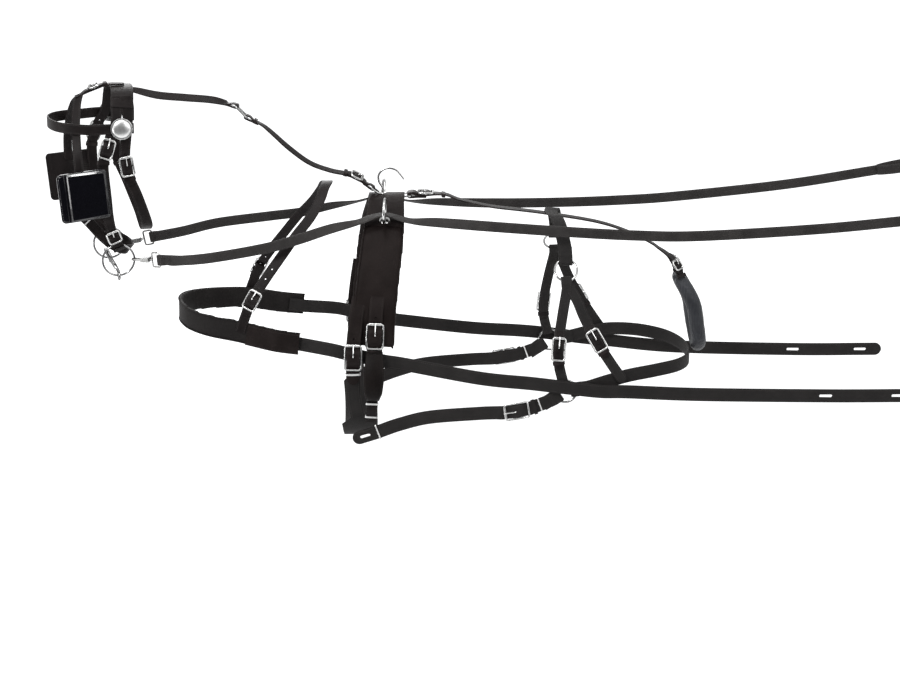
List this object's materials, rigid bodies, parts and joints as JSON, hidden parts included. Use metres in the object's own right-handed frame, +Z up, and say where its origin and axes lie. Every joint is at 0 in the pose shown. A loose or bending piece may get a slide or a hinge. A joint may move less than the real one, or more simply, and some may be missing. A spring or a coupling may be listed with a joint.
{
  "type": "driving harness",
  "caption": "Single horse driving harness of webbing and leather: bridle with winkers and check, saddle, girth and tugs, breast collar and traces, crupper, breeching and reins.",
  "frame": {"origin": "on the centre line at the underside of the saddle pad, where it lies on the back; this is mount back_seat, which holds the part up", "axes": "+X rearward along the back from head to tail, +Y to the wearer's right (the far side in the picture), +Z up"},
  "size_m": [1.7327, 0.4019, 0.6557],
  "materials": {
    "leather": "semi-matt, dyed black-brown",
    "webbing": "woven, near black",
    "patent": "patent gloss, black",
    "padding": "smooth covered foam, blue-black",
    "chrome": "bright plate"
  },
  "bodies": {
    "harness": {"back_strap": "leather", "breast_collar": "webbing", "breeching_seat": "webbing", "browband": "patent", "check_front_strap": "leather", "check_hook": "chrome", "check_link": "chrome", "check_rear_strap": "leather", "cheek_buckle_left": "chrome", "cheek_buckle_right": "chrome", "cheek_left": "leather", "cheek_right": "leather", "crown_piece": "leather", "crupper": "padding", "girth": "webbing", "girth_buckle_left": "chrome", "girth_buckle_right": "chrome", "hip_drop_left": "leather", "hip_drop_right": "leather", "hip_strap": "leather", "holdback_left": "webbing", "holdback_right": "webbing", "neck_buckle_left": "chrome", "neck_buckle_right": "chrome", "neck_strap": "leather", "noseband": "leather", "rein_left": "leather", "rein_right": "leather", "rosette_left": "chrome", "rosette_right": "chrome", "saddle_pad": "padding", "snap_eye_left": "chrome", "snap_eye_right": "chrome", "terret_left": "chrome", "terret_right": "chrome", "throatlatch": "leather", "trace_left": "webbing", "trace_right": "webbing", "tug_buckle_left": "chrome", "tug_buckle_right": "chrome", "tug_left": "leather", "tug_right": "leather", "winker_left": "patent", "winker_right": "patent", "winker_stay": "leather"},
    "bit_ring_left": {"bit_ring_left": "chrome"},
    "bit_ring_right": {"bit_ring_right": "chrome"},
    "bit_mouthpiece": {"bit_mouthpiece": "chrome"},
    "snap_hook_left": {"snap_hook_left": "chrome"},
    "snap_hook_right": {"snap_hook_right": "chrome"},
    "snap_bolt_left": {"snap_bolt_left": "chrome"},
    "snap_bolt_right": {"snap_bolt_right": "chrome"},
    "tug_tongue_left": {"tug_tongue_left": "chrome"},
    "tug_tongue_right": {"tug_tongue_right": "chrome"},
    "neck_tongue_left": {"neck_tongue_left": "chrome"},
    "neck_tongue_right": {"neck_tongue_right": "chrome"},
    "hip_ring_left": {"hip_ring_left": "chrome"},
    "hip_ring_right": {"hip_ring_right": "chrome"},
    "breeching_ring_left": {"breeching_ring_left": "chrome"},
    "breeching_ring_right": {"breeching_ring_right": "chrome"}
  },
  "joints": [
    {"name": "bit_ring_left_spin", "type": "hinge", "parent": "harness", "child": "bit_ring_left", "pos_m": [-0.49135, -0.05061, -0.09989], "axis": [0.2416, -0.969, -0.0523], "continuous": true},
    {"name": "hip_ring_left_spin", "type": "hinge", "parent": "harness", "child": "hip_ring_left", "pos_m": [0.3217, -0.1271, -0.1082], "axis": [0, -0.8412, 0.5408], "continuous": true},
    {"name": "breeching_ring_left_spin", "type": "hinge", "parent": "harness", "child": "breeching_ring_left", "pos_m": [0.3185, -0.184, -0.319], "axis": [0, -1, 0], "continuous": true},
    {"name": "bit_ring_right_spin", "type": "hinge", "parent": "harness", "child": "bit_ring_right", "pos_m": [-0.5213, 0.06954, -0.0934], "axis": [-0.2416, 0.969, 0.0523], "continuous": true},
    {"name": "hip_ring_right_spin", "type": "hinge", "parent": "harness", "child": "hip_ring_right", "pos_m": [0.3217, 0.1271, -0.1082], "axis": [0, 0.8412, 0.5408], "continuous": true},
    {"name": "breeching_ring_right_spin", "type": "hinge", "parent": "harness", "child": "breeching_ring_right", "pos_m": [0.3185, 0.184, -0.319], "axis": [0, 1, 0], "continuous": true},
    {"name": "mouthpiece_swing", "type": "hinge", "parent": "harness", "child": "bit_mouthpiece", "pos_m": [-0.50632, 0.00946, -0.09665], "axis": [-0.2416, 0.969, 0.0523], "range_deg": [-40, 40]},
    {"name": "snap_left_swivel", "type": "hinge", "parent": "harness", "child": "snap_hook_left", "pos_m": [-0.43481, -0.05585, -0.09851], "axis": [0.9172, -0.3959, 0.0448], "range_deg": [-30, 30]},
    {"name": "snap_left_bolt_slide", "type": "slide", "parent": "snap_hook_left", "child": "snap_bolt_left", "axis": [0.9172, -0.3959, 0.0448], "range_m": [0, 0.006], "stiffness_N_per_m": 60},
    {"name": "tug_left_tongue_lift", "type": "hinge", "parent": "harness", "child": "tug_tongue_left", "pos_m": [-0.02452, -0.16998, -0.21728], "axis": [0.9993, 0.0013, -0.0371], "range_deg": [0, 40]},
    {"name": "neck_left_tongue_lift", "type": "hinge", "parent": "harness", "child": "neck_tongue_left", "pos_m": [-0.24473, -0.13631, -0.15755], "axis": [0.8618, -0.2592, -0.436], "range_deg": [0, 40]},
    {"name": "snap_right_swivel", "type": "hinge", "parent": "harness", "child": "snap_hook_right", "pos_m": [-0.46268, 0.07696, -0.08801], "axis": [0.9846, 0.013, 0.1742], "range_deg": [-30, 30]},
    {"name": "snap_right_bolt_slide", "type": "slide", "parent": "snap_hook_right", "child": "snap_bolt_right", "axis": [0.9846, 0.013, 0.1742], "range_m": [0, 0.006], "stiffness_N_per_m": 60},
    {"name": "tug_right_tongue_lift", "type": "hinge", "parent": "harness", "child": "tug_tongue_right", "pos_m": [-0.02452, 0.16998, -0.21728], "axis": [-0.9993, 0.0013, 0.0371], "range_deg": [0, 40]},
    {"name": "neck_right_tongue_lift", "type": "hinge", "parent": "harness", "child": "neck_tongue_right", "pos_m": [-0.24473, 0.13631, -0.15755], "axis": [-0.8618, -0.2592, 0.436], "range_deg": [0, 40]}
  ]
}
